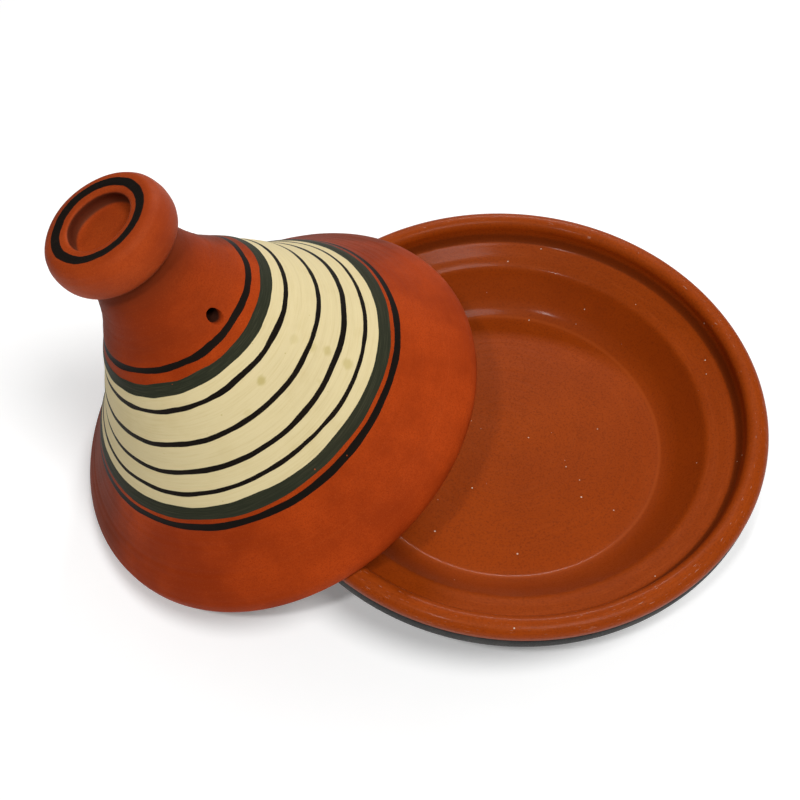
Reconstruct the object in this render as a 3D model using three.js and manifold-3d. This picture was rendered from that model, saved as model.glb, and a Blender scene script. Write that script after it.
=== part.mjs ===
// Tagine pot: a shallow fired-clay dish and a tall conical lid that leans
// against it, its low edge on the table and its high side over the dish's rim.
// Millimetres, +Z up. The origin is the centre of the dish's foot, on the table.

import * as THREE from 'three';
import { mergeVertices } from 'three/addons/utils/BufferGeometryUtils.js';
import Module from 'manifold-3d';

const wasm = await Module();
wasm.setup();

// ---- driving dimensions --------------------------------------------------

const DISH_RADIUS = 145;          // outside of the rim bead
const DISH_SEGMENTS = 48;
const FOOT_RADIUS = 93;           // flat ring that the dish stands on
const BEAD_CENTRE = [138.9, 51.4];
const BEAD_SIZE = [DISH_RADIUS - BEAD_CENTRE[0], 5.2];
const LEDGE_OUTER = [129.6, 42.2];
const LEDGE_INNER = [115.4, 35.0];
const FLOOR_HEIGHT = 10.8;        // top of the dish's floor above the table

const LID_RADIUS = 121;           // seats inside the dish's raised rim
const LID_SEGMENTS = 40;
const LID_WALL = 7;               // the skirt's wall
const NECK_WALL = 12.5;           // the wall swells to this under the neck
const WALL_SWELL = [72, 112];     // heights between which it swells
const LID_LEAN = 21.4;            // degrees from upright
const LID_LEAN_TOWARDS = -173.6;  // degrees about +Z
const LID_CENTRE = [-133.3, -2.5, 44.25];
const HOLLOW_TOP = 138;
const NECK_TOP = 149.5;

const KNOB_RADIUS = 32;
const KNOB_MIDDLE = 162.4;
const KNOB_BELOW_MIDDLE = 12.6;
const KNOB_ABOVE_MIDDLE = 10.8;
const KNOB_CREST_RADIUS = 24.4;
const KNOB_NECK_RADIUS = 21.6;
const RECESS_RADIUS = 16.9;
const RECESS_FLOOR = 165;

const STEAM_HOLE_DIAMETER = 7;
const STEAM_HOLE_HEIGHT = 116;
const STEAM_HOLE_TURN = -37.2;    // degrees about the lid's axis

const FIT_GAP = 0.3;              // between pieces that touch
const COAT_GAP = 0.35;            // between a coat and the clay behind it
const COAT_THICKNESS = 0.5;
const LINE_THICKNESS = 0.4;

// Outside of the lid from its rim up to the neck: radius, height on its axis.
const LID_PROFILE = [
  [LID_RADIUS, 0],
  [121.8, 2.5],
  [120.9, 8],
  [116, 14.3],
  [108.2, 21.6],
  [99.4, 31],
  [92.2, 39.3],
  [88, 44.8],
  [83.7, 49.1],
  [79.3, 54.2],
  [71.7, 63.5],
  [63.5, 75.9],
  [52.5, 92.5],
  [48.7, 98.9],
  [44.4, 104.8],
  [42.2, 107.7],
  [38.4, 113.2],
  [34.4, 119],
  [30.5, 126.4],
  [27.1, 134.8],
  [24.6, 142.7],
  [23.1, NECK_TOP],
];

// Heights on the lid's axis between which each coat of slip or paint lies.
const LOWER_BLACK_RING = [38.9, 41.9];
const LOWER_GREEN_BAND = [43.4, 48.7];
const CREAM_BAND = [48.9, 98.0];
const UPPER_GREEN_BAND = [98.2, 103.9];
const UPPER_BLACK_RING = [107.8, 110.4];
const FINE_LINE_HEIGHTS = [54.2, 63.3, 76.1, 92.1];
const FINE_LINE_WIDTH = 2.1;

// ---- materials -----------------------------------------------------------

const glazedTerracotta = () =>
  new THREE.MeshStandardMaterial({ color: 0x8e3d14, roughness: 0.3, metalness: 0 });
const mattTerracotta = () =>
  new THREE.MeshStandardMaterial({ color: 0x9c3f18, roughness: 0.62, metalness: 0 });
const darkOuterCoat = () =>
  new THREE.MeshStandardMaterial({ color: 0x3a3833, roughness: 0.7, metalness: 0 });
const creamSlip = () =>
  new THREE.MeshStandardMaterial({ color: 0xd9c793, roughness: 0.6, metalness: 0 });
const greenBlackPaint = () =>
  new THREE.MeshStandardMaterial({ color: 0x2c2d22, roughness: 0.6, metalness: 0 });
const blackPaint = () =>
  new THREE.MeshStandardMaterial({ color: 0x14120f, roughness: 0.55, metalness: 0 });

// ---- helpers -------------------------------------------------------------

// Turns a closed or axis-to-axis outline about +Z. The outline runs so that
// the clay is on its left, which makes the faces point out.
function turned(outline, segments) {
  const points = outline.map(([radius, height]) => new THREE.Vector2(radius, height));
  const geometry = new THREE.LatheGeometry(points, segments);
  geometry.rotateX(Math.PI / 2);
  return geometry;
}

function closed(outline) {
  return [...outline, outline[0]];
}

function named(name, geometry, material) {
  const mesh = new THREE.Mesh(geometry, material);
  mesh.name = name;
  return mesh;
}

// Points on an ellipse, from one angle to another in degrees.
function arc([centreR, centreZ], [sizeR, sizeZ], from, to, steps) {
  const points = [];
  for (let i = 0; i <= steps; i += 1) {
    const angle = THREE.MathUtils.degToRad(from + ((to - from) * i) / steps);
    points.push([centreR + sizeR * Math.cos(angle), centreZ + sizeZ * Math.sin(angle)]);
  }
  return points;
}

// The outline moved outwards along its own normals; negative moves it inwards.
function offset(outline, distance) {
  return outline.map(([radius, height], i) => {
    const before = outline[Math.max(0, i - 1)];
    const after = outline[Math.min(outline.length - 1, i + 1)];
    const alongR = after[0] - before[0];
    const alongZ = after[1] - before[1];
    const length = Math.hypot(alongR, alongZ);
    return [radius + (alongZ / length) * distance, height - (alongR / length) * distance];
  });
}

function radiusAt(profile, height) {
  for (let i = 1; i < profile.length; i += 1) {
    const [r0, h0] = profile[i - 1];
    const [r1, h1] = profile[i];
    if (height >= h0 && height <= h1) {
      return r0 + ((r1 - r0) * (height - h0)) / (h1 - h0);
    }
  }
  return profile[profile.length - 1][0];
}

// The stretch of a profile between two heights, ends included.
function stretch(profile, low, high) {
  const inside = profile.filter(([, height]) => height > low + 0.4 && height < high - 0.4);
  return [[radiusAt(profile, low), low], ...inside, [radiusAt(profile, high), high]];
}

// A thin coat that follows a stretch of a turned surface, a small gap outside it.
function coat(profile, gap, thickness, segments) {
  const back = offset(profile, gap);
  const front = offset(profile, gap + thickness);
  return turned(closed([...front, ...back.reverse()]), segments);
}

function toSolid(geometry) {
  const plain = geometry.clone();
  plain.deleteAttribute('normal');
  plain.deleteAttribute('uv');
  const merged = mergeVertices(plain, 1e-4);
  const mesh = new wasm.Mesh({
    numProp: 3,
    vertProperties: new Float32Array(merged.attributes.position.array),
    triVerts: new Uint32Array(merged.index.array),
  });
  return new wasm.Manifold(mesh);
}

function toGeometry(solid) {
  const { vertProperties, triVerts } = solid.getMesh();
  const geometry = new THREE.BufferGeometry();
  geometry.setAttribute('position', new THREE.BufferAttribute(vertProperties, 3));
  geometry.setIndex(new THREE.BufferAttribute(triVerts, 1));
  geometry.computeVertexNormals();
  return geometry;
}

// ---- dish ----------------------------------------------------------------

const DISH_OUTER_WALL = [
  [FOOT_RADIUS, 0],
  [97, 1.2],
  [103.5, 4.5],
  [111.5, 9.5],
  [119.5, 15.5],
  [126.5, 21.5],
  [133, 27.5],
  [139, 33],
  [142.8, 37.5],
  [144.2, 42],
  [144.6, 47],
];

const dishOutline = [
  [0, 0],
  ...DISH_OUTER_WALL,
  ...arc(BEAD_CENTRE, BEAD_SIZE, -12, 170, 8),
  [132.4, 47.4],
  LEDGE_OUTER,
  LEDGE_INNER,
  [113.8, 33.4],
  [108, 25],
  [101.5, 17.2],
  [96.5, 13.3],
  [93, 11.5],
  [90, FLOOR_HEIGHT],
  [0, FLOOR_HEIGHT],
];

const dish = named('dish_body', turned(dishOutline, DISH_SEGMENTS), glazedTerracotta());

// Dark coat over the outside wall, from just above the foot up to the bead.
const dishCoat = named(
  'dish_outer_coat',
  coat(stretch(DISH_OUTER_WALL, 2.5, 46.8), COAT_GAP, COAT_THICKNESS, DISH_SEGMENTS),
  darkOuterCoat(),
);

// ---- lid: thrown cone ----------------------------------------------------

function wallAt(height) {
  const swell = THREE.MathUtils.inverseLerp(...WALL_SWELL, height);
  return THREE.MathUtils.lerp(LID_WALL, NECK_WALL, THREE.MathUtils.clamp(swell, 0, 1));
}

const innerWall = LID_PROFILE
  .map(([, height], i) => offset(LID_PROFILE, -wallAt(height))[i])
  .filter(([, height]) => height > 9 && height < HOLLOW_TOP - 6.5)
  .reverse();

const coneOutline = [
  ...LID_PROFILE,
  [0, NECK_TOP],
  [0, HOLLOW_TOP],
  [8, HOLLOW_TOP - 1.6],
  [13.5, HOLLOW_TOP - 5],
  ...innerWall,
  [114.4, 4.5],
  [116.2, 0],
];

// The steam hole is pierced level, towards the lid's axis, a little under the neck.
function steamHoleTool() {
  const radius = radiusAt(LID_PROFILE, STEAM_HOLE_HEIGHT);
  const tool = new THREE.CylinderGeometry(
    STEAM_HOLE_DIAMETER / 2, STEAM_HOLE_DIAMETER / 2, 4 * LID_WALL, 20,
  );
  tool.rotateZ(Math.PI / 2);
  tool.translate(radius, 0, STEAM_HOLE_HEIGHT);
  tool.rotateZ(THREE.MathUtils.degToRad(STEAM_HOLE_TURN));
  return tool;
}

const coneSolid = toSolid(turned(closed(coneOutline), LID_SEGMENTS))
  .subtract(toSolid(steamHoleTool()));
const cone = named('lid_cone', toGeometry(coneSolid), mattTerracotta());

// ---- lid: knob, thrown apart and luted on the neck -----------------------

// Fat bun with a rounded side: the side's curve is fuller than an ellipse.
function bunSide(steps) {
  const points = [];
  for (let i = 0; i <= steps; i += 1) {
    const angle = THREE.MathUtils.degToRad(-90 + (180 * i) / steps);
    const inner = angle < 0 ? KNOB_NECK_RADIUS : KNOB_CREST_RADIUS;
    const rise = angle < 0 ? KNOB_BELOW_MIDDLE : KNOB_ABOVE_MIDDLE;
    const reach = (KNOB_RADIUS - inner) * Math.cos(angle) ** 0.8;
    points.push([inner + reach, KNOB_MIDDLE + rise * Math.sin(angle)]);
  }
  return points;
}

const knobOutline = [
  [0, NECK_TOP + FIT_GAP],
  ...bunSide(10),
  [20.6, 172.7],
  [18.2, 172.3],
  [RECESS_RADIUS, 171.2],
  [16.7, 168],
  [16.1, RECESS_FLOOR + 1],
  [14.4, RECESS_FLOOR],
  [0, RECESS_FLOOR],
];

const knob = named('lid_knob', turned(knobOutline, LID_SEGMENTS), mattTerracotta());

// ---- lid: coats of slip and paint ----------------------------------------

function lidCoat(name, [low, high], material) {
  const profile = stretch(LID_PROFILE, low, high);
  return named(name, coat(profile, COAT_GAP, COAT_THICKNESS, LID_SEGMENTS), material);
}

// A fine line is brushed over the cream, so it lies a gap outside the cream.
function fineLine(name, height) {
  const low = height - FINE_LINE_WIDTH / 2;
  const high = height + FINE_LINE_WIDTH / 2;
  const gap = COAT_GAP + COAT_THICKNESS + COAT_GAP;
  const profile = stretch(LID_PROFILE, low, high);
  return named(name, coat(profile, gap, LINE_THICKNESS, LID_SEGMENTS), blackPaint());
}

const coats = [
  lidCoat('lower_black_ring', LOWER_BLACK_RING, blackPaint()),
  lidCoat('lower_green_band', LOWER_GREEN_BAND, greenBlackPaint()),
  lidCoat('cream_slip_band', CREAM_BAND, creamSlip()),
  lidCoat('upper_green_band', UPPER_GREEN_BAND, greenBlackPaint()),
  lidCoat('upper_black_ring', UPPER_BLACK_RING, blackPaint()),
  ...FINE_LINE_HEIGHTS.map((height, i) => fineLine(`fine_line_${i + 1}`, height)),
];

// Black ring on the knob's crest, around the recess.
const knobRingPath = [
  [20, 173.15],
  [22.3, 173.6],
  [24.5, 173.65],
];
const knobRing = named(
  'knob_black_ring',
  turned(
    closed([
      ...knobRingPath,
      ...knobRingPath.map(([radius, height]) => [radius, height + COAT_THICKNESS]).reverse(),
    ]),
    LID_SEGMENTS,
  ),
  blackPaint(),
);

// ---- placing -------------------------------------------------------------

const lid = new THREE.Group();
lid.add(cone, knob, knobRing, ...coats);
const leanTowards = THREE.MathUtils.degToRad(LID_LEAN_TOWARDS);
const leanAxis = new THREE.Vector3(-Math.sin(leanTowards), Math.cos(leanTowards), 0);
lid.quaternion.setFromAxisAngle(leanAxis, THREE.MathUtils.degToRad(LID_LEAN));
lid.position.set(...LID_CENTRE);

const tagine = new THREE.Group();
tagine.add(dish, dishCoat, lid);

export default tagine;
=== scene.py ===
"""A tagine pot: fine thrown meshes, glaze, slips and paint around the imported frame."""

import math

import bpy
import numpy as np
from mathutils import Matrix, Quaternion, Vector


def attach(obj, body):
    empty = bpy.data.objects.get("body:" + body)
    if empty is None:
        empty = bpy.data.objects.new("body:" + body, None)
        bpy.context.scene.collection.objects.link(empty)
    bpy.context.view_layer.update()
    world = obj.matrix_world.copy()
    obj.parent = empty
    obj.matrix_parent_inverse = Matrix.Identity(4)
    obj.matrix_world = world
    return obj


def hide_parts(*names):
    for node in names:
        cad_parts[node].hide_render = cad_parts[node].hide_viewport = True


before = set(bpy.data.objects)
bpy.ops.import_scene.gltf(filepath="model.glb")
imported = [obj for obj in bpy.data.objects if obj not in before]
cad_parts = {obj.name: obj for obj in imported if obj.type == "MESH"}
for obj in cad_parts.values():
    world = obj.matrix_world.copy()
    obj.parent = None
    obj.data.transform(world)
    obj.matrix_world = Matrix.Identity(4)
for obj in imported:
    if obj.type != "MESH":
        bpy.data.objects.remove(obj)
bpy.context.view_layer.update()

MM = 0.001
PER_MM = 1000.0

# ---- dimensions, in millimetres, the same as the frame's -------------------
# An outline's points are (distance from the axis, height).

BEAD_CENTRE = (138.9, 51.4)
BEAD_SIZE = (6.1, 5.2)
DISH_FLOOR = 10.8

LID_LEAN = 21.4
LID_LEAN_TOWARDS = -173.6
LID_CENTRE = (-133.3, -2.5, 44.25)
LEAN_AXIS = (
    -math.sin(math.radians(LID_LEAN_TOWARDS)),
    math.cos(math.radians(LID_LEAN_TOWARDS)),
    0.0,
)
LID_WALL = 7.0
NECK_WALL = 12.5
WALL_SWELL = (72.0, 112.0)
NECK_TOP = 149.5
HOLLOW_TOP = 138.0

KNOB_BOTTOM = NECK_TOP + 0.4
KNOB_RADIUS = 32.0
KNOB_MIDDLE = 162.4
KNOB_BELOW_MIDDLE = 12.6
KNOB_ABOVE_MIDDLE = 10.8
KNOB_CREST_RADIUS = 24.4
KNOB_NECK_RADIUS = 21.6
BUN_ROUNDNESS = 0.8
RECESS_FLOOR = 165.0

STEAM_HOLE_RADIUS = 3.5
STEAM_HOLE_HEIGHT = 116.0
STEAM_HOLE_TURN = -37.2

LID_PROFILE = [
    (121.0, 0.0),
    (121.8, 2.5),
    (120.9, 8.0),
    (116.0, 14.3),
    (108.2, 21.6),
    (99.4, 31.0),
    (92.2, 39.3),
    (88.0, 44.8),
    (83.7, 49.1),
    (79.3, 54.2),
    (71.7, 63.5),
    (63.5, 75.9),
    (52.5, 92.5),
    (48.7, 98.9),
    (44.4, 104.8),
    (42.2, 107.7),
    (38.4, 113.2),
    (34.4, 119.0),
    (30.5, 126.4),
    (27.1, 134.8),
    (24.6, 142.7),
    (23.1, NECK_TOP),
]

DISH_FOOT = [
    (0, 0.7),
    (40, 0.65),
    (78, 0.5),
    (86, 0.05),
    (90, 0),
    (92.6, 0.05),
]

DISH_OUTER_WALL = [
    (97.0, 1.2),
    (103.5, 4.5),
    (111.5, 9.5),
    (119.5, 15.5),
    (126.5, 21.5),
    (133.0, 27.5),
    (139.0, 33.0),
    (142.8, 37.5),
    (144.2, 42.0),
    (144.6, 47.0),
]

# From the raised rim down over the groove, the ledge and the wall to the middle of the floor.
DISH_INSIDE = [
    (132.6, 49.0),
    (131.6, 45.8),
    (130.4, 43.3),
    (129.0, 42.0),
    (127.0, 40.9),
    (121.0, 37.7),
    (117.2, 35.9),
    (115.3, 34.8),
    (114.0, 33.3),
    (112.0, 30.4),
    (107.8, 24.8),
    (101.5, 17.4),
    (97.6, 14.1),
    (94.6, 12.3),
    (92.8, 11.5),
    (91.0, 11.0),
    (88.0, DISH_FLOOR),
    (80.0, DISH_FLOOR),
    (40, DISH_FLOOR),
    (0, DISH_FLOOR),
]

# The knob from its crest down into the recess.
KNOB_RECESS = [
    (22.0, 173.1),
    (20.0, 172.9),
    (18.3, 172.75),
    (17.2, 172.5),
    (16.6, 171.9),
    (16.55, 171.2),
    (16.9, 169.6),
    (17.1, 167.8),
    (16.7, 166.2),
    (15.6, 165.3),
    (13.8, RECESS_FLOOR),
    (6.0, RECESS_FLOOR + 0.2),
    (0, RECESS_FLOOR + 0.3),
]

# ---- where the finishes change, in millimetres -----------------------------

# Coats on the outside of the lid from the rim up: where each starts, and what it is.
LINE_HALF = 1.05
FINE_LINES = (54.2, 63.3, 76.1, 92.1)
LID_COATS = [
    (0.0, "clay"),
    (38.9, "black"),
    (41.9, "clay"),
    (43.4, "green"),
    (48.8, "cream"),
]
for line in FINE_LINES:
    LID_COATS.append((line - LINE_HALF, "black"))
    LID_COATS.append((line + LINE_HALF, "cream"))
LID_COATS += [
    (98.2, "green"),
    (103.8, "clay"),
    (107.8, "black"),
    (110.4, "clay"),
]

# Marks on the cream slip: height, turn in degrees, size, strength.
STAINS = [
    (85.6, -47.3, 3.0, 0.70),
    (84.0, -21.0, 3.4, 0.25),
    (76.0, -20.0, 3.0, 0.30),
    (68.7, -17.4, 3.2, 0.50),
    (59.1, -18.6, 3.6, 0.50),
    (66.0, -31.0, 2.4, 0.25),
    (79.0, -62.0, 2.8, 0.22),
]

# Heights over which painted shade darkens the bare clay of the neck, once low down and once under the
# knob.
NECK_DARKENS = (106.0, 120.0)
NECK_DARKENS_MORE = (128.0, 149.0)

# Painted shade lies no further than this above and below the middle of the steam hole.
HOLE_SHADE_REACH = 6

# Distances from the axis, and heights, on the knob.
KNOB_RING = (19.9, 24.4)
KNOB_RING_HEIGHTS = (169.5, 170.5)
KNOB_RUBBED_HEIGHTS = (153.0, 161.0)
# The knob's painted shade lies over these heights at its foot, and on this side of the recess.
KNOB_CREVICE_HEIGHTS = (150.5, 155.0)
RECESS_SIDE = (15.4, 18.0)
RECESS_SIDE_HEIGHTS = (165.6, 171.9)

# Distances from the axis, and heights, on the dish.
FLOOR_EDGE = (91.9, 93.6)
GLAZE_POOL_AND_SHADE = (93.5, 113.0)
LEDGE = (115.0, 130.0)
GROOVE = (129.5, 132.3)
CREST = (134.5, 145.5)
CREST_HEIGHTS = (50.0, 55.0)

# ---- colours, linear -------------------------------------------------------

CLAY_LID = (0.44, 0.053, 0.006)
CLAY_LID_DEEP = (0.29, 0.031, 0.0035)
CLAY_LID_PALE = (0.48, 0.078, 0.014)
CLAY_KNOB = (0.42, 0.060, 0.009)
CLAY_KNOB_DEEP = (0.29, 0.036, 0.006)
CLAY_BARE = (0.36, 0.085, 0.028)
CLAY_BARE_DEEP = (0.25, 0.052, 0.017)
GLAZE = (0.328, 0.048, 0.0023)
GLAZE_DEEP = (0.235, 0.031, 0.0020)
GLAZE_PALE = (0.385, 0.066, 0.008)
GLAZE_GRAIN = (0.165, 0.023, 0.0018)
# The colour of painted shade in the groove inside the bead.
GROOVE_SHADE_COLOUR = (0.075, 0.013, 0.003)
CREAM = (0.745, 0.625, 0.35)
CREAM_DEEP = (0.645, 0.52, 0.255)
CREAM_STAIN = (0.50, 0.40, 0.13)
GREEN_BLACK = (0.024, 0.028, 0.017)
GREEN_BLACK_THIN = (0.050, 0.052, 0.031)
BLACK = (0.0075, 0.0062, 0.0052)
BLACK_THIN = (0.022, 0.013, 0.009)
DARK_COAT = (0.034, 0.031, 0.028)
DARK_COAT_DEEP = (0.014, 0.013, 0.012)
DARK_COAT_BROWN = (0.11, 0.045, 0.020)
SPECK = (0.72, 0.60, 0.48)
# The colour of painted shade inside the steam hole.
HOLE_SHADE_COLOUR = (0.012, 0.008, 0.006)
# The colour of painted shade on the lid's clay: up the neck, and on its left and far sides.
PAINTED_SHADE_CLAY = (0.12, 0.020, 0.006)
WARM_GLOSS = (1.0, 0.58, 0.36, 1.0)
PAPER = (0.93, 0.93, 0.925)
PAPER_PALE = (0.95, 0.95, 0.95)
WHITE = (1.0, 1.0, 1.0, 1.0)


# ---- outlines --------------------------------------------------------------

def smooth_curve(points, spacing):
    """Even points along a centripetal Catmull-Rom curve through the given points."""
    pts = [np.array(p, float) for p in points]
    pts = [2 * pts[0] - pts[1], *pts, 2 * pts[-1] - pts[-2]]
    dense = []
    for i in range(1, len(pts) - 2):
        p0, p1, p2, p3 = pts[i - 1:i + 3]
        t0 = 0.0
        t1 = t0 + math.sqrt(np.linalg.norm(p1 - p0))
        t2 = t1 + math.sqrt(np.linalg.norm(p2 - p1))
        t3 = t2 + math.sqrt(np.linalg.norm(p3 - p2))
        for t in np.linspace(t1, t2, 24, endpoint=False):
            a1 = (t1 - t) / (t1 - t0) * p0 + (t - t0) / (t1 - t0) * p1
            a2 = (t2 - t) / (t2 - t1) * p1 + (t - t1) / (t2 - t1) * p2
            a3 = (t3 - t) / (t3 - t2) * p2 + (t - t2) / (t3 - t2) * p3
            b1 = (t2 - t) / (t2 - t0) * a1 + (t - t0) / (t2 - t0) * a2
            b2 = (t3 - t) / (t3 - t1) * a2 + (t - t1) / (t3 - t1) * a3
            dense.append((t2 - t) / (t2 - t1) * b1 + (t - t1) / (t2 - t1) * b2)
    dense.append(pts[-2])
    dense = np.array(dense)
    along = np.concatenate([[0], np.cumsum(np.linalg.norm(np.diff(dense, axis=0), axis=1))])
    count = max(2, int(round(along[-1] / spacing)) + 1)
    even = np.linspace(0, along[-1], count)
    return np.stack([np.interp(even, along, dense[:, k]) for k in (0, 1)], axis=1)


def arc(centre, size, start, end, steps):
    """Points on an ellipse between two angles in degrees."""
    angles = np.radians(np.linspace(start, end, steps + 1))
    return [(centre[0] + size[0] * math.cos(a), centre[1] + size[1] * math.sin(a)) for a in angles]


def outline_normals(outline):
    """Unit normals on the right-hand side of the outline's direction."""
    along = np.gradient(outline, axis=0)
    length = np.maximum(np.linalg.norm(along, axis=1), 1e-9)
    return np.stack([along[:, 1] / length, -along[:, 0] / length], axis=1)


def offset(outline, distance):
    """The outline moved along its normals, by one distance or by a column of them."""
    outline = np.array(outline, float)
    return outline + outline_normals(outline) * distance


def lid_radius_at(height):
    """The lid's outside radius at a height over its rim."""
    heights = [h for _, h in LID_PROFILE]
    radii = [r for r, _ in LID_PROFILE]
    return float(np.interp(height, heights, radii))


# ---- meshes ----------------------------------------------------------------

def hand_thrown(seed, ridge, dent):
    """Relief in mm over (angle, distance along the outline): spiral ridges and slow dents."""
    rng = np.random.RandomState(seed)
    spirals = [
        (rng.uniform(2.4, 7.5), rng.randint(0, 3), rng.uniform(0, 6.28), rng.uniform(0.4, 1.0))
        for _ in range(6)
    ]
    swells = [
        (rng.randint(1, 6), rng.uniform(25, 90), rng.uniform(0, 6.28), rng.uniform(0.3, 1.0))
        for _ in range(8)
    ]

    def relief(angle, along):
        total = np.zeros_like(angle * along)
        for wave, turns, phase, weight in spirals:
            total += ridge / 3 * weight * np.sin(2 * np.pi * along / wave + turns * angle + phase)
        for turns, wave, phase, weight in swells:
            total += dent / 4 * weight * np.sin(turns * angle + 2 * np.pi * along / wave + phase)
        return total

    return relief


def turned_object(name, outline, segments, relief, loop=False):
    """An outline in mm turned about +Z into a mesh in metres, and each face's row in the outline.

    A point on the axis becomes one vertex, and a loop joins the last row to the first.
    """
    outline = np.array(outline, float)
    normals = outline_normals(outline)
    steps = np.linalg.norm(np.diff(outline, axis=0), axis=1)
    along = np.concatenate([[0], np.cumsum(steps)])
    angle = np.linspace(0, 2 * np.pi, segments, endpoint=False)
    grid_angle, grid_along = np.meshgrid(angle, along)
    push = relief(grid_angle, grid_along)
    fade = np.clip(outline[:, 0] / 12.0, 0, 1)[:, None]
    radius = outline[:, 0][:, None] + normals[:, 0][:, None] * push * fade
    height = outline[:, 1][:, None] + normals[:, 1][:, None] * push * fade
    rows = len(outline)
    ring = np.stack([radius * np.cos(grid_angle), radius * np.sin(grid_angle), height], axis=2)
    verts = []
    index = []
    for i in range(rows):
        if outline[i, 0] < 1e-6:
            index.append([len(verts)] * segments)
            verts.append((0.0, 0.0, outline[i, 1]))
        else:
            index.append(list(range(len(verts), len(verts) + segments)))
            verts.extend(map(tuple, ring[i]))
    faces = []
    face_rows = []
    spans = [(i, i + 1) for i in range(rows - 1)]
    if loop:
        spans.append((rows - 1, 0))
    for low, high in spans:
        for j in range(segments):
            k = (j + 1) % segments
            corners = [index[low][j], index[low][k], index[high][k], index[high][j]]
            face = list(dict.fromkeys(corners))
            if len(face) > 2:
                faces.append(face)
                face_rows.append(low)
    mesh = bpy.data.meshes.new(name)
    mesh.from_pydata([tuple(c * MM for c in v) for v in verts], [], faces)
    mesh.update()
    mesh.shade_smooth()
    made = bpy.data.objects.new(name, mesh)
    bpy.context.scene.collection.objects.link(made)
    return made, face_rows


def give_materials(made, materials, pick, face_rows):
    """Fills the slots, and gives each face the slot that pick says for its row."""
    for material in materials:
        made.data.materials.append(material)
    made.data.polygons.foreach_set("material_index", [pick(row) for row in face_rows])
    made.data.update()


def subtract(made, cutter):
    """Cuts the cutter out of the object, and removes the cutter."""
    modifier = made.modifiers.new("cut", "BOOLEAN")
    modifier.operation = "DIFFERENCE"
    modifier.solver = "EXACT"
    modifier.object = cutter
    bpy.context.view_layer.update()
    graph = bpy.context.evaluated_depsgraph_get()
    cut = bpy.data.meshes.new_from_object(made.evaluated_get(graph))
    made.modifiers.clear()
    old = made.data
    made.data = cut
    bpy.data.meshes.remove(old)
    bpy.data.objects.remove(cutter)


# ---- shader helpers --------------------------------------------------------

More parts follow.
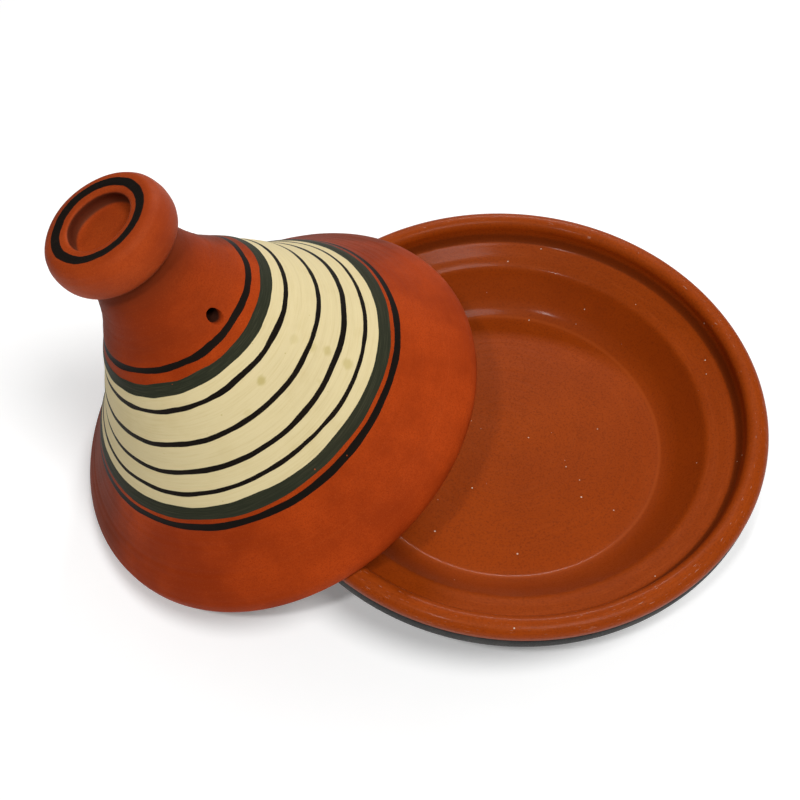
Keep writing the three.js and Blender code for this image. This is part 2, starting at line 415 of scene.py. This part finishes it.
class Shader:
    """A node material, wired as it is written. Its places are in mm in the piece's own frame."""

    def __init__(self, name, leaning=False):
        self.material = bpy.data.materials.new(name)
        self.material.use_nodes = True
        self.tree = self.material.node_tree
        self.tree.nodes.clear()
        coordinates = self.add("ShaderNodeTexCoord")
        self.place = self.scaled(coordinates.outputs["Object"], PER_MM)
        if leaning:
            upright = self.add("ShaderNodeVectorRotate", {
                "Vector": self.place,
                "Center": LID_CENTRE,
                "Axis": LEAN_AXIS,
                "Angle": -math.radians(LID_LEAN),
            }, rotation_type="AXIS_ANGLE").outputs[0]
            moved = self.add("ShaderNodeVectorMath", {0: upright, 1: LID_CENTRE}, operation="SUBTRACT")
            self.place = moved.outputs[0]
        split = self.add("ShaderNodeSeparateXYZ", {0: self.place})
        self.x, self.y, self.z = split.outputs
        square = self.math("ADD", self.math("POWER", self.x, 2.0), self.math("POWER", self.y, 2.0))
        self.radius = self.math("MAXIMUM", self.math("SQRT", square), 0.01)
        self.across = self.math("DIVIDE", self.x, self.radius)
        self.deep = self.math("DIVIDE", self.y, self.radius)

    def add(self, kind, inputs=None, **settings):
        """A node with its settings, then its inputs: a socket is linked, and a value is set."""
        node = self.tree.nodes.new(kind)
        for key, value in settings.items():
            setattr(node, key, value)
        for key, value in (inputs or {}).items():
            if isinstance(value, bpy.types.NodeSocket):
                self.tree.links.new(value, node.inputs[key])
            else:
                node.inputs[key].default_value = value
        return node

    def math(self, operation, a, b=0.0, clamp=False):
        node = self.add("ShaderNodeMath", {0: a, 1: b}, operation=operation, use_clamp=clamp)
        return node.outputs[0]

    def scaled(self, vector, factor):
        node = self.add("ShaderNodeVectorMath", {0: vector, "Scale": factor}, operation="SCALE")
        return node.outputs["Vector"]

    def joined(self, x, y, z):
        return self.add("ShaderNodeCombineXYZ", {0: x, 1: y, 2: z}).outputs[0]

    def distance_from(self, point):
        node = self.add("ShaderNodeVectorMath", {0: self.place, 1: point}, operation="DISTANCE")
        return node.outputs["Value"]

    def turning(self, round_scale, along, along_scale):
        """A place for noise that runs round the turned shape: features per turn and per mm."""
        return self.joined(
            self.math("MULTIPLY", self.across, round_scale),
            self.math("MULTIPLY", self.deep, round_scale),
            self.math("MULTIPLY", along, along_scale),
        )

    def round_about(self, round_scale, height_scale):
        """A turning place for any part of the outline, flat or steep."""
        return self.turning(round_scale, self.math("SUBTRACT", self.z, self.radius), height_scale)

    def noise(self, place, scale, detail=3.0, roughness=0.55):
        inputs = {"Vector": place, "Scale": scale, "Detail": detail, "Roughness": roughness}
        return self.add("ShaderNodeTexNoise", inputs).outputs["Fac"]

    def fit(self, value, low, high, to_low=0.0, to_high=1.0):
        """The value carried smoothly from low..high to another range, and held at its ends."""
        inputs = {"Value": value, 1: low, 2: high, 3: to_low, 4: to_high}
        node = self.add("ShaderNodeMapRange", inputs, interpolation_type="SMOOTHSTEP")
        return node.outputs["Result"]

    def between(self, value, low, high, soft):
        """1 between low and high and 0 outside, with each edge this soft on both its sides."""
        rise = self.fit(value, low - soft, low + soft)
        fall = self.fit(value, high - soft, high + soft, 1.0, 0.0)
        return self.math("MULTIPLY", rise, fall)

    def mix(self, amount, a, b):
        """Colour a where the amount is 0, and colour b where it is 1."""
        a, b = [c if isinstance(c, bpy.types.NodeSocket) else (*c, 1.0) for c in (a, b)]
        return self.add("ShaderNodeMix", {0: amount, 6: a, 7: b}, data_type="RGBA").outputs[2]

    def mix_part(self, mask, strength, a, b):
        """Colour b over colour a at a strength, inside a mask."""
        return self.mix(self.math("MULTIPLY", mask, strength), a, b)

    def specks(self, cell, share, size):
        """Small round marks: one in some cells of a given size in mm."""
        inputs = {"Vector": self.place, "Scale": 1.0 / cell}
        cells = self.add("ShaderNodeTexVoronoi", inputs)
        pick = self.add("ShaderNodeSeparateColor", {0: cells.outputs["Color"]})
        chosen = self.math("LESS_THAN", pick.outputs[0], share)
        reach = self.math("MULTIPLY", pick.outputs[1], size / cell)
        near = self.math("SUBTRACT", reach, cells.outputs["Distance"])
        dot = self.fit(near, 0.0, 0.25 * size / cell)
        return self.math("MULTIPLY", chosen, dot)

    def bump(self, layers):
        """One normal from (height socket, depth in mm) layers, each laid on the one before."""
        normal = None
        for height, depth in layers:
            inputs = {"Height": height, "Distance": depth * MM, "Strength": 1.0}
            node = self.add("ShaderNodeBump", inputs)
            if normal is not None:
                self.tree.links.new(normal, node.inputs["Normal"])
            normal = node.outputs["Normal"]
        return normal

    def finish(self, colour, roughness, normal, **others):
        """The material. The others are sockets of its shader, with _ for each space."""
        inputs = {"Base Color": colour, "Roughness": roughness, "Normal": normal}
        for key, value in others.items():
            inputs[key.replace("_", " ")] = value
        surface = self.add("ShaderNodeBsdfPrincipled", inputs)
        self.add("ShaderNodeOutputMaterial", {0: surface.outputs[0]})
        return self.material


# ---- materials -------------------------------------------------------------

def clay_colour(s, base, deep, pale):
    """Fired clay: slow clouding, faint rings from throwing, and fine grog."""
    clouds = s.noise(s.place, 0.022, 4.0, 0.6)
    colour = s.mix(s.fit(clouds, 0.34, 0.70), deep, base)
    rings = s.noise(s.round_about(1.2, 0.42), 1.0, 3.0)
    colour = s.mix(s.fit(rings, 0.55, 0.85, 0.0, 0.22), colour, pale)
    grain = s.noise(s.place, 1.3, 3.0, 0.7)
    colour = s.mix(s.fit(grain, 0.42, 0.68, 0.0, 0.75), colour, deep)
    dust = s.noise(s.place, 1.9, 2.0, 0.6)
    return s.mix(s.fit(dust, 0.56, 0.74, 0.0, 0.50), colour, pale)


def coat_mask(s, level, wanted):
    """1 where the lid's coat is the one wanted, by height after the brush's wander."""
    ramp = s.add("ShaderNodeValToRGB", {0: s.math("MULTIPLY", level, 1 / NECK_TOP)})
    ramp.color_ramp.interpolation = "CONSTANT"
    stops = ramp.color_ramp.elements
    for i, (start, coat) in enumerate(LID_COATS):
        stop = stops[i] if i < 2 else stops.new(start / NECK_TOP)
        stop.position = start / NECK_TOP
        value = 1.0 if coat == wanted else 0.0
        stop.color = (value, value, value, 1.0)
    return ramp.outputs[0]


def shaded_clay(s):
    """The lid's clay: painted shade up the neck, and painted shade on two sides, the left and the far
    one.
    """
    colour = clay_colour(s, CLAY_LID, CLAY_LID_DEEP, CLAY_LID_PALE)
    # Painted shade: darker up the neck, and darker still under the knob.
    colour = s.mix(s.fit(s.z, *NECK_DARKENS, 0.0, 0.30), colour, PAINTED_SHADE_CLAY)
    colour = s.mix(s.fit(s.z, *NECK_DARKENS_MORE, 0.0, 0.70), colour, PAINTED_SHADE_CLAY)
    drift = s.fit(s.noise(s.place, 0.03, 4.0, 0.6), 0.25, 0.75, -0.18, 0.18)
    # Painted shade on the lid's left side.
    left_shade = s.fit(s.math("ADD", s.across, drift), -1.05, -0.45, 0.62, 0.0)
    colour = s.mix(left_shade, colour, PAINTED_SHADE_CLAY)
    # Painted shade on the lid's far side.
    far_shade = s.fit(s.math("ADD", s.deep, drift), 0.45, 1.05, 0.0, 0.66)
    return s.mix(far_shade, colour, PAINTED_SHADE_CLAY)


def stained_cream(s, wobble):
    """The cream slip: brush strokes, thin washes, a few stains and yellow flecks."""
    strokes = s.fit(s.noise(s.round_about(3.0, 0.95), 1.0, 4.0, 0.6), 0.42, 0.80, 0.0, 0.55)
    washes = s.fit(s.noise(s.place, 0.045, 3.0), 0.5, 0.8, 0.0, 0.4)
    colour = s.mix(s.math("ADD", strokes, washes), CREAM, CREAM_DEEP)
    for height, turn, size, strength in STAINS:
        radius = lid_radius_at(height)
        angle = math.radians(turn)
        away = s.distance_from(Vector((radius * math.cos(angle), radius * math.sin(angle), height)))
        ragged = s.math("ADD", away, s.fit(wobble, 0.2, 0.8, -1.2, 1.2))
        colour = s.mix(s.fit(ragged, size * 0.2, size, strength, 0.0), colour, CREAM_STAIN)
    return s.mix_part(s.specks(5.5, 0.30, 0.55), 0.5, colour, CREAM_STAIN)


def hole_shade(s):
    """How much painted shade darkens the clay inside the steam hole, by its depth under the lid's
    surface.
    """
    one_up = lid_radius_at(STEAM_HOLE_HEIGHT + 1)
    one_down = lid_radius_at(STEAM_HOLE_HEIGHT - 1)
    below = s.math("SUBTRACT", STEAM_HOLE_HEIGHT, s.z)
    widening = s.math("MULTIPLY", below, (one_down - one_up) / 2)
    outside = s.math("ADD", widening, lid_radius_at(STEAM_HOLE_HEIGHT))
    inward = s.math("SUBTRACT", outside, s.radius)
    near_hole = s.between(s.z, STEAM_HOLE_HEIGHT - HOLE_SHADE_REACH, STEAM_HOLE_HEIGHT + HOLE_SHADE_REACH, 0.5)
    return s.math("MULTIPLY", s.fit(inward, 0.9, 4.0, 0.0, 0.94), near_hole)


def painted_lid():
    s = Shader("lid_paint_and_clay", leaning=True)
    slow = s.noise(s.turning(1.5, s.z, 0.11), 1.0, 2.0)
    quick = s.noise(s.turning(4.5, s.z, 0.30), 1.0, 2.0)
    wander = s.math("ADD", s.fit(slow, 0.2, 0.8, -0.6, 0.6), s.fit(quick, 0.2, 0.8, -0.16, 0.16))
    level = s.math("ADD", s.z, wander)
    cream = coat_mask(s, level, "cream")
    green = coat_mask(s, level, "green")
    black = coat_mask(s, level, "black")

    brush = s.noise(s.round_about(4.0, 2.1), 1.0, 3.0, 0.65)
    green_colour = s.mix(s.fit(brush, 0.45, 0.75), GREEN_BLACK, GREEN_BLACK_THIN)
    black_colour = s.mix(s.fit(brush, 0.60, 0.85, 0.0, 0.8), BLACK, BLACK_THIN)
    colour = s.mix(cream, shaded_clay(s), stained_cream(s, quick))
    colour = s.mix(green, colour, green_colour)
    colour = s.mix(black, colour, black_colour)
    # Painted shade inside the steam hole.
    colour = s.mix(hole_shade(s), colour, HOLE_SHADE_COLOUR)
    dark_paint = s.math("ADD", green, black, clamp=True)
    chips = s.math("MULTIPLY", s.specks(7.0, 0.16, 0.6), dark_paint)
    colour = s.mix(chips, colour, CLAY_LID_PALE)

    coated = s.math("ADD", s.math("ADD", cream, green), black, clamp=True)
    grain = s.noise(s.place, 1.5, 3.0, 0.6)
    rings = s.noise(s.round_about(0.8, 0.55), 1.0, 2.0)
    clay_roughness = s.fit(grain, 0.3, 0.7, 0.58, 0.70)
    roughness = s.math("ADD", clay_roughness, s.math("MULTIPLY", coated, -0.06))
    normal = s.bump([(rings, 0.12), (coated, 0.04), (grain, 0.07), (brush, 0.02)])
    return s.finish(colour, roughness, normal, Specular_IOR_Level=0.07, Specular_Tint=WARM_GLOSS)


def knob_clay():
    s = Shader("knob_clay", leaning=True)
    clay = clay_colour(s, CLAY_KNOB, CLAY_KNOB_DEEP, CLAY_LID_PALE)
    dusty = s.noise(s.place, 0.5, 4.0, 0.7)
    low_down = s.fit(s.z, *KNOB_RUBBED_HEIGHTS, 1.0, 0.0)
    rub = s.math("MULTIPLY", low_down, s.fit(dusty, 0.50, 0.68, 0.0, 0.40))
    colour = s.mix(rub, clay, CLAY_BARE)

    # Painted shade: dark at the knob's foot where it meets the neck, and on the side wall of the
    # recess.
    crevice_shade = s.fit(s.z, *KNOB_CREVICE_HEIGHTS, 0.75, 0.0)
    in_recess = s.between(s.z, *RECESS_SIDE_HEIGHTS, 0.5)
    recess_shade = s.math("MULTIPLY", s.between(s.radius, *RECESS_SIDE, 0.7), in_recess)
    knob_shade = s.math("ADD", crevice_shade, s.math("MULTIPLY", recess_shade, 0.75), clamp=True)
    colour = s.mix(knob_shade, colour, BLACK_THIN)

    quick = s.noise(s.round_about(2.2, 0.0), 1.0, 2.0)
    edge = s.math("ADD", s.radius, s.fit(quick, 0.2, 0.8, -0.3, 0.3))
    on_crest = s.fit(s.z, *KNOB_RING_HEIGHTS)
    ring = s.math("MULTIPLY", s.between(edge, *KNOB_RING, 0.12), on_crest)
    brush = s.noise(s.round_about(5.0, 0.0), 2.0, 3.0, 0.65)
    ring_black = s.mix(s.fit(brush, 0.55, 0.85, 0.0, 0.8), BLACK, BLACK_THIN)
    colour = s.mix(ring, colour, ring_black)

    grain = s.noise(s.place, 1.5, 3.0, 0.6)
    roughness = s.fit(grain, 0.3, 0.7, 0.52, 0.66)
    normal = s.bump([(ring, 0.05), (grain, 0.08)])
    return s.finish(colour, roughness, normal, Specular_IOR_Level=0.16, Specular_Tint=WARM_GLOSS)


def bare_clay(name, leaning):
    """Unglazed clay, a little smoked: under the dish, and inside the lid."""
    s = Shader(name, leaning)
    clay = clay_colour(s, CLAY_BARE, CLAY_BARE_DEEP, CLAY_LID_PALE)
    soot = s.noise(s.place, 0.03, 4.0, 0.65)
    colour = s.mix(s.fit(soot, 0.52, 0.75, 0.0, 0.6), clay, CLAY_BARE_DEEP)
    grain = s.noise(s.place, 1.1, 4.0, 0.65)
    rings = s.noise(s.round_about(0.6, 0.35), 1.0, 2.0)
    roughness = s.fit(grain, 0.3, 0.7, 0.68, 0.82)
    normal = s.bump([(rings, 0.5), (grain, 0.14)])
    return s.finish(colour, roughness, normal, Specular_IOR_Level=0.3)


def dish_glaze(name, coat_weight, smoothest):
    """Clear glaze over clay: a painted highlight on the floor's edge, darker on the wall where glaze
    gathers and painted shade falls, painted shade in the groove, worn on the crest.
    """
    s = Shader(name)
    clouds = s.noise(s.place, 0.018, 4.0, 0.6)
    colour = s.mix(s.fit(clouds, 0.35, 0.70, 0.0, 0.4), GLAZE, GLAZE_DEEP)
    rings = s.noise(s.round_about(1.3, 0.30), 1.0, 3.0)
    colour = s.mix(s.fit(rings, 0.5, 0.85, 0.0, 0.25), colour, GLAZE_PALE)
    grain = s.noise(s.place, 0.9, 4.0, 0.7)
    colour = s.mix(s.fit(grain, 0.44, 0.70, 0.0, 0.62), colour, GLAZE_GRAIN)

    # Painted highlight: a pale line along the floor's edge.
    colour = s.mix_part(s.between(s.radius, *FLOOR_EDGE, 0.6), 0.5, colour, GLAZE_PALE)
    # Darker on the well's wall: partly glaze that gathers there, partly painted shade.
    colour = s.mix_part(s.between(s.radius, *GLAZE_POOL_AND_SHADE, 2.2), 0.20, colour, GLAZE_DEEP)
    # Painted shade in the groove inside the bead.
    colour = s.mix_part(s.between(s.radius, *GROOVE, 0.6), 0.62, colour, GROOVE_SHADE_COLOUR)
    scrapes = s.fit(s.noise(s.round_about(6.0, 1.5), 1.0, 4.0, 0.7), 0.50, 0.70, 0.0, 0.45)
    colour = s.mix_part(s.between(s.radius, *LEDGE, 1.5), scrapes, colour, GLAZE_PALE)

    crest = s.math("MULTIPLY", s.between(s.radius, *CREST, 2.0), s.fit(s.z, *CREST_HEIGHTS))
    wear = s.fit(s.noise(s.round_about(9.0, 0.8), 1.0, 4.0, 0.7), 0.45, 0.72, 0.05, 0.50)
    colour = s.mix_part(crest, wear, colour, GLAZE_PALE)
    scratches = s.fit(s.noise(s.round_about(26.0, 2.2), 1.0, 3.0), 0.66, 0.74)
    scuffs = s.math("MULTIPLY", crest, scratches)
    colour = s.mix_part(scuffs, 0.35, colour, SPECK)

    dots = s.math("MAXIMUM", s.specks(7.0, 0.36, 0.65), s.specks(15.0, 0.50, 0.85))
    colour = s.mix_part(dots, 0.85, colour, SPECK)
    colour = s.mix_part(s.specks(6.0, 0.25, 0.5), 0.6, colour, GLAZE_DEEP)
    glaze_roughness = s.fit(grain, 0.3, 0.7, smoothest, smoothest + 0.1)
    roughness = s.math("ADD", glaze_roughness, s.math("MULTIPLY", scuffs, 0.2))
    normal = s.bump([(rings, 0.22), (grain, 0.05), (dots, 0.08)])
    return s.finish(
        colour, roughness, normal,
        Specular_IOR_Level=0.14, Coat_Weight=coat_weight, Coat_Roughness=0.14, Coat_IOR=1.4,
        Specular_Tint=WARM_GLOSS,
    )


def dark_outer_coat():
    s = Shader("dark_outer_coat")
    clouds = s.noise(s.place, 0.03, 4.0, 0.65)
    colour = s.mix(s.fit(clouds, 0.35, 0.70), DARK_COAT_DEEP, DARK_COAT)
    streaks = s.noise(s.round_about(5.0, 0.12), 1.0, 4.0, 0.65)
    colour = s.mix(s.fit(streaks, 0.60, 0.80, 0.0, 0.65), colour, DARK_COAT_BROWN)
    grain = s.noise(s.place, 1.2, 4.0, 0.65)
    colour = s.mix(s.fit(grain, 0.5, 0.8, 0.0, 0.5), colour, DARK_COAT_DEEP)
    roughness = s.fit(grain, 0.3, 0.7, 0.58, 0.74)
    normal = s.bump([(streaks, 0.12), (grain, 0.10)])
    return s.finish(colour, roughness, normal, Specular_IOR_Level=0.2)


def floor_paper():
    """White paper that glows, less near the object: the glow is painted light, and its dip near the
    object is painted shade around it.
    """
    s = Shader("pale_floor")
    tooth = s.noise(s.place, 0.05, 2.0)
    # Painted light from the floor's own glow, weaker near the object as painted shade.
    glow = s.fit(s.distance_from((-45.0, 0.0, 0.0)), 120.0, 290.0, 0.19, 0.36)
    return s.finish(
        s.mix(tooth, PAPER, PAPER_PALE), 0.8, s.bump([(tooth, 0.02)]),
        Specular_IOR_Level=0.1, Emission_Color=WHITE, Emission_Strength=glow,
    )


# ---- dish ------------------------------------------------------------------

DISH_SPACING = 1.1
BEAD_LENGTH = 18

bead = arc(BEAD_CENTRE, BEAD_SIZE, -12, 172, 16)
outer_part = smooth_curve([*DISH_FOOT, *DISH_OUTER_WALL, (144.75, 48.6)], DISH_SPACING)
outer_part[0] = DISH_FOOT[0]
inner_part = smooth_curve([(144.8, 49.3), *bead, *DISH_INSIDE], DISH_SPACING)
inner_part[-1] = DISH_INSIDE[-1]
dish_outline = np.vstack([outer_part, inner_part])
dish, dish_rows = turned_object("dish_body_thrown", dish_outline, 300, hand_thrown(7, 0.018, 0.16))


def dish_material(row):
    """Bare clay up to just under the bead, worn glaze over the bead, and glaze inside."""
    if row < len(outer_part) - 3:
        return 2
    return 1 if row < len(outer_part) + int(BEAD_LENGTH / DISH_SPACING) else 0


give_materials(
    dish,
    [
        dish_glaze("dish_glaze", 0.10, 0.48),
        dish_glaze("dish_glaze_worn", 0.05, 0.46),
        bare_clay("dish_bare_clay", False),
    ],
    dish_material,
    dish_rows,
)
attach(dish, "dish")
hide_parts("dish_body")

# Dark coat: a skin over the outside wall, level with the clay at its edges, its back in the clay.
COAT_OUT = 0.42
COAT_IN = 0.35

coat_wall = smooth_curve([(95.2, 0.6), *DISH_OUTER_WALL, (144.8, 49.2)], 1.3)
from_start = np.arange(len(coat_wall))
coat_depth = np.minimum(1, np.minimum(from_start, from_start[::-1]) / 2)
coat_front = coat_wall + (offset(coat_wall, COAT_OUT) - coat_wall) * coat_depth[:, None]
coat_back = offset(coat_wall, -COAT_IN)
coat, coat_rows = turned_object(
    "dish_outer_coat_brushed", np.vstack([coat_front, coat_back[::-1]]), 240,
    hand_thrown(11, 0.05, 0.10), loop=True,
)
give_materials(coat, [dark_outer_coat()], lambda row: 0, coat_rows)
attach(coat, "dish")
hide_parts("dish_outer_coat")

# ---- lid -------------------------------------------------------------------

LID_RIM = [
    (117.2, 0.0),
    (119.6, 0.0),
    (120.8, 0.35),
    (121.7, 2.0),
    (121.8, 4.0),
]
LID_INNER_RIM = [
    (114.4, 4.5),
    (115.9, 0.8),
    (116.8, 0.05),
]
HOLLOW_CROWN = [
    (0, HOLLOW_TOP),
    (8, HOLLOW_TOP - 1.6),
    (13.5, HOLLOW_TOP - 5),
]
INNER_WALL_HEIGHTS = (9, HOLLOW_TOP - 6.5)

lid_outer = smooth_curve([*LID_RIM, *LID_PROFILE[2:]], 1.0)
wall_depth = np.interp([h for _, h in LID_PROFILE], WALL_SWELL, (LID_WALL, NECK_WALL))
inner_wall = [
    (radius, height)
    for radius, height in offset(LID_PROFILE, -wall_depth[:, None])
    if INNER_WALL_HEIGHTS[0] < height < INNER_WALL_HEIGHTS[1]
]
lid_inner = smooth_curve([*HOLLOW_CROWN, *inner_wall[::-1], *LID_INNER_RIM], 1.4)
lid_inner[0] = HOLLOW_CROWN[0]
neck_cap = [(radius, NECK_TOP + 0.05) for radius in (21.5, 12, 0)]
cone_outline = np.vstack([lid_inner, lid_outer, neck_cap])
cone, cone_rows = turned_object("lid_cone_thrown", cone_outline, 288, hand_thrown(23, 0.10, 0.30))
give_materials(
    cone,
    [painted_lid(), bare_clay("lid_bare_clay", True)],
    lambda row: 1 if row < len(lid_inner) else 0,
    cone_rows,
)

# The steam hole: pierced level through the wall, with a lip that flares a little. In its
# outline the heights run outwards from the lid's surface.
lip = STEAM_HOLE_RADIUS
cutter_outline = [
    (0, -20),
    (lip, -20),
    (lip, -8),
    (lip, -4),
    (lip, -1.5),
    (lip + 0.1, 0.0),
    (lip + 0.3, 1.5),
    (lip + 0.6, 3.0),
    (lip + 0.8, 6.0),
    (0, 6.0),
]
cutter, _ = turned_object("steam_hole_tool", cutter_outline, 40, hand_thrown(31, 0.0, 0.22))
turn = math.radians(STEAM_HOLE_TURN)
outward = Vector((math.cos(turn), math.sin(turn), 0.0))
hole_place = outward * lid_radius_at(STEAM_HOLE_HEIGHT) + Vector((0, 0, STEAM_HOLE_HEIGHT))
cutter.rotation_mode = "QUATERNION"
cutter.rotation_quaternion = Vector((0, 0, 1)).rotation_difference(outward)
cutter.location = hole_place * MM
subtract(cone, cutter)


def bun_side(steps):
    """The knob's round side from its neck to its crest: two quarter ovals that meet at its middle."""
    side = []
    for step in range(steps + 1):
        angle = math.radians(-90 + 180 * step / steps)
        inner = KNOB_NECK_RADIUS if angle < 0 else KNOB_CREST_RADIUS
        rise = KNOB_BELOW_MIDDLE if angle < 0 else KNOB_ABOVE_MIDDLE
        reach = (KNOB_RADIUS - inner) * max(0.0, math.cos(angle)) ** BUN_ROUNDNESS
        side.append((inner + reach, KNOB_MIDDLE + rise * math.sin(angle)))
    return side


knob_side = smooth_curve([*bun_side(32), *KNOB_RECESS], 0.5)
knob_side[-1] = KNOB_RECESS[-1]
knob_foot = [(radius, KNOB_BOTTOM) for radius in (0, 12, 20.6)]
knob_outline = np.vstack([knob_foot, knob_side])
knob, knob_rows = turned_object("lid_knob_thrown", knob_outline, 192, hand_thrown(41, 0.07, 0.30))
give_materials(knob, [knob_clay()], lambda row: 0, knob_rows)

lean = Quaternion(LEAN_AXIS, math.radians(LID_LEAN))
lid_place = Matrix.Translation(Vector(LID_CENTRE) * MM) @ lean.to_matrix().to_4x4()
for piece in (cone, knob):
    piece.data.transform(lid_place)
    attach(piece, "lid")

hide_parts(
    "lid_cone",
    "lower_black_ring",
    "lower_green_band",
    "cream_slip_band",
    "upper_green_band",
    "upper_black_ring",
    *[f"fine_line_{i + 1}" for i in range(len(FINE_LINES))],
)
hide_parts("lid_knob", "knob_black_ring")

# ---- floor, light and camera, in metres ------------------------------------

HALF_FLOOR = 6.0
FLOOR_HEIGHT = -0.0002
CORNERS = ((-1, -1), (1, -1), (1, 1), (-1, 1))

floor_mesh = bpy.data.meshes.new("floor")
floor_mesh.from_pydata(
    [(x * HALF_FLOOR, y * HALF_FLOOR, FLOOR_HEIGHT) for x, y in CORNERS], [], [(0, 1, 2, 3)],
)
floor = bpy.data.objects.new("floor", floor_mesh)
bpy.context.scene.collection.objects.link(floor)
floor.data.materials.append(floor_paper())

ROOM_COLOUR = (1.0, 0.99, 0.975, 1.0)
ROOM_STRENGTH = 0.06

world = bpy.data.worlds.new("soft_room")
bpy.context.scene.world = world
world.use_nodes = True
background = world.node_tree.nodes["Background"]
background.inputs["Color"].default_value = ROOM_COLOUR
background.inputs["Strength"].default_value = ROOM_STRENGTH

LIGHT_TARGET = Vector((-0.03, 0.0, 0.05))


def softbox(name, place, width, depth, power):
    """An oval light that faces the object."""
    light = bpy.data.lights.new(name, "AREA")
    light.shape = "ELLIPSE"
    light.size = width
    light.size_y = depth
    light.energy = power
    lamp = bpy.data.objects.new(name, light)
    lamp.location = place
    lamp.rotation_mode = "QUATERNION"
    lamp.rotation_quaternion = (LIGHT_TARGET - lamp.location).to_track_quat("-Z", "Y")
    bpy.context.scene.collection.objects.link(lamp)


softbox("key", Vector((0.33, -0.34, 1.21)), 0.50, 0.50, 9.6)
softbox("flash", Vector((-0.26, -0.47, 1.00)), 0.08, 0.08, 2.8)
softbox("back_strip", Vector((0.13, 0.85, 0.62)), 0.34, 0.07, 3.9)

VIEW_PLACE = Vector((-0.0581, -0.3392, 0.5379))
VIEW_FORWARD = Vector((-0.0070, 0.5706, -0.8212)).normalized()
VIEW_RIGHT = Vector((1.0, 0.0, -0.0085)).normalized()
VIEW_LENS = 46.67
VIEW_SENSOR = 36.0
VIEW_NEAREST = 0.01

view_up = VIEW_RIGHT.cross(VIEW_FORWARD).normalized()
camera_data = bpy.data.cameras.new("camera")
camera_data.lens = VIEW_LENS
camera_data.sensor_width = VIEW_SENSOR
camera_data.clip_start = VIEW_NEAREST
camera = bpy.data.objects.new("camera", camera_data)
columns = Matrix((VIEW_RIGHT, view_up, -VIEW_FORWARD)).transposed()
camera.matrix_world = Matrix.Translation(VIEW_PLACE) @ columns.to_4x4()
bpy.context.scene.collection.objects.link(camera)
bpy.context.scene.camera = camera

bpy.context.scene.view_settings.view_transform = "Standard"
bpy.context.scene.view_settings.look = "None"
